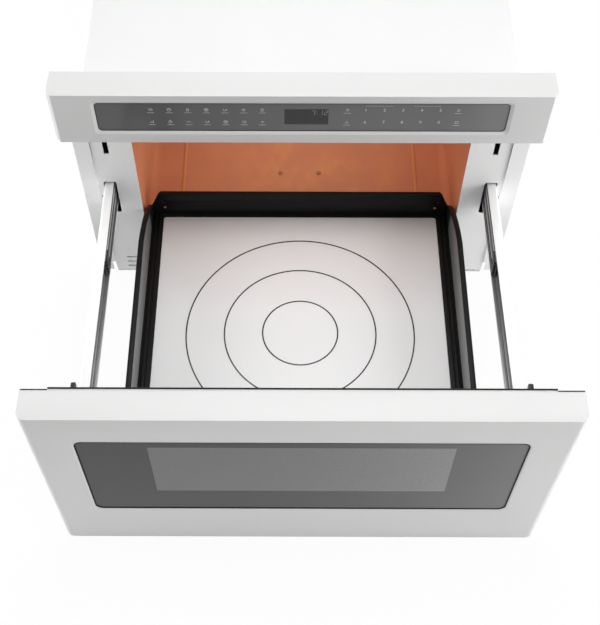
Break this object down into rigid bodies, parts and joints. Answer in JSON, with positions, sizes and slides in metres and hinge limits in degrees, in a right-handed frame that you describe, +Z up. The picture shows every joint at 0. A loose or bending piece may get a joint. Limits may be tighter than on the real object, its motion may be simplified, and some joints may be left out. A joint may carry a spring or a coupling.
{
  "type": "microwave drawer",
  "caption": "Built-in microwave drawer, open on its slides, with a glass shelf tray, a windowed front, a touch panel above it and a copper-coloured cavity in a full-depth case.",
  "frame": {"origin": "middle of the case's width, on the shelf under the case, in the plane of the cabinet's face", "axes": "+X to the right seen from the front, +Y into the cabinet, +Z up"},
  "size_m": [0.6064, 0.9745, 0.415],
  "materials": {
    "white_matte": "matte white painted metal",
    "white_enamel": "smooth white painted sheet",
    "case_paint": "pale painted sheet",
    "zinc_sheet": "zinc-plated sheet",
    "copper_enamel": "copper-coloured cavity enamel",
    "screw_steel": "screw steel",
    "black_plastic": "black moulded plastic",
    "control_glass": "grey tinted touch glass, printed behind",
    "display_black": "dark display window",
    "board_green": "circuit board",
    "slide_steel": "drawn slide steel",
    "motor_steel": "plated motor steel",
    "mica": "mica sheet",
    "core_iron": "varnished core",
    "window_glass": "grey tinted glass",
    "screen_grey": "perforated grey screen",
    "window_film": "clear inner sheet",
    "plate_grey": "dark enamelled plate",
    "wall_grey": "grey tray wall",
    "gear_nylon": "natural nylon",
    "shelf_white": "white printed glass shelf",
    "ring_grey": "printed grey line",
    "stirrer_metal": "stirrer sheet"
  },
  "bodies": {
    "case": {"front_frame": "white_enamel", "side_flanges": "white_enamel", "case_wrap": "case_paint", "case_base": "zinc_sheet", "case_back": "case_paint", "cavity_shell": "copper_enamel", "case_screws": "screw_steel", "cord_gland": "black_plastic", "control_panel": "white_matte", "control_glass": "control_glass", "display_module": "display_black", "control_board": "board_green", "slide_fixed": "slide_steel", "slide_brackets": "zinc_sheet", "interlock_switches": "black_plastic", "drive_bracket": "zinc_sheet", "drive_motor": "motor_steel", "waveguide": "zinc_sheet", "stirrer_cover": "mica", "stirrer_motor": "motor_steel", "magnetron": "motor_steel", "hv_transformer": "core_iron", "hv_capacitor": "motor_steel", "filter_board": "board_green", "power_board": "board_green", "fan_housing": "black_plastic", "oven_lamp": "motor_steel", "thermostats": "black_plastic"},
    "drawer": {"drawer_front": "white_matte", "drawer_glass": "window_glass", "window_frame": "black_plastic", "window_screen": "screen_grey", "choke_frame": "zinc_sheet", "inner_window": "window_film", "back_plate": "plate_grey", "side_arm_right": "white_enamel", "side_arm_left": "white_enamel", "slide_inner_right": "slide_steel", "slide_inner_left": "slide_steel", "latch_pivots": "screw_steel", "drawer_screws": "screw_steel", "drive_rack": "gear_nylon", "tray_base": "zinc_sheet", "tray_walls": "wall_grey", "tray_rims": "black_plastic", "tray_back": "black_plastic", "glass_frame": "black_plastic", "glass_shelf": "shelf_white", "ring_marks": "ring_grey"},
    "slide_mid_right": {"slide_mid_right": "slide_steel"},
    "slide_mid_left": {"slide_mid_left": "slide_steel"},
    "ball_cage_outer": {"cage_outer": "black_plastic"},
    "ball_cage_inner": {"cage_inner": "black_plastic"},
    "pinion": {"drive_pinion": "gear_nylon"},
    "stirrer": {"stirrer_fan": "stirrer_metal"},
    "cooling_fan": {"fan_wheel": "black_plastic"},
    "latch_right": {"latch_hook_right": "black_plastic"},
    "latch_left": {"latch_hook_left": "black_plastic"},
    "switch_plungers": {"switch_plungers": "gear_nylon"}
  },
  "joints": [
    {"name": "drawer_slide", "type": "slide", "parent": "case", "child": "drawer", "axis": [0, 1, 0], "range_m": [0, 0.381]},
    {"name": "slide_mid_right_run", "type": "slide", "parent": "case", "child": "slide_mid_right", "axis": [0, 1, 0], "range_m": [0, 0.1905]},
    {"name": "slide_mid_left_run", "type": "slide", "parent": "case", "child": "slide_mid_left", "axis": [0, 1, 0], "range_m": [0, 0.1905]},
    {"name": "cage_outer_run", "type": "slide", "parent": "case", "child": "ball_cage_outer", "axis": [0, 1, 0], "range_m": [0, 0.09525]},
    {"name": "cage_inner_run", "type": "slide", "parent": "case", "child": "ball_cage_inner", "axis": [0, 1, 0], "range_m": [0, 0.28575]},
    {"name": "pinion_spin", "type": "hinge", "parent": "case", "child": "pinion", "pos_m": [0, 0.03, 0.0535], "axis": [-1, 0, 0], "range_deg": [0, 1213.3]},
    {"name": "stirrer_spin", "type": "hinge", "parent": "case", "child": "stirrer", "pos_m": [0, 0.2, 0.303], "axis": [0, 0, 1], "continuous": true},
    {"name": "fan_spin", "type": "hinge", "parent": "case", "child": "cooling_fan", "pos_m": [-0.185, 0.52, 0.25], "axis": [0, 1, 0], "continuous": true},
    {"name": "latch_right_lift", "type": "hinge", "parent": "drawer", "child": "latch_right", "pos_m": [0.2545, -0.395, 0.279], "axis": [1, 0, 0], "range_deg": [0, 5], "stiffness_Nm_per_rad": 0.2},
    {"name": "latch_left_lift", "type": "hinge", "parent": "drawer", "child": "latch_left", "pos_m": [-0.2545, -0.395, 0.279], "axis": [1, 0, 0], "range_deg": [0, 5], "stiffness_Nm_per_rad": 0.2},
    {"name": "plunger_press", "type": "slide", "parent": "case", "child": "switch_plungers", "axis": [0, 1, 0], "range_m": [0, 0.0025], "stiffness_N_per_m": 200}
  ],
  "couplings": [
    {"joint": "slide_mid_right_run", "follows": "drawer_slide", "ratio": 0.5},
    {"joint": "slide_mid_left_run", "follows": "drawer_slide", "ratio": 0.5},
    {"joint": "cage_outer_run", "follows": "drawer_slide", "ratio": 0.25},
    {"joint": "cage_inner_run", "follows": "drawer_slide", "ratio": 0.75},
    {"joint": "pinion_spin", "follows": "drawer_slide", "rad_per_m": 55.556}
  ]
}
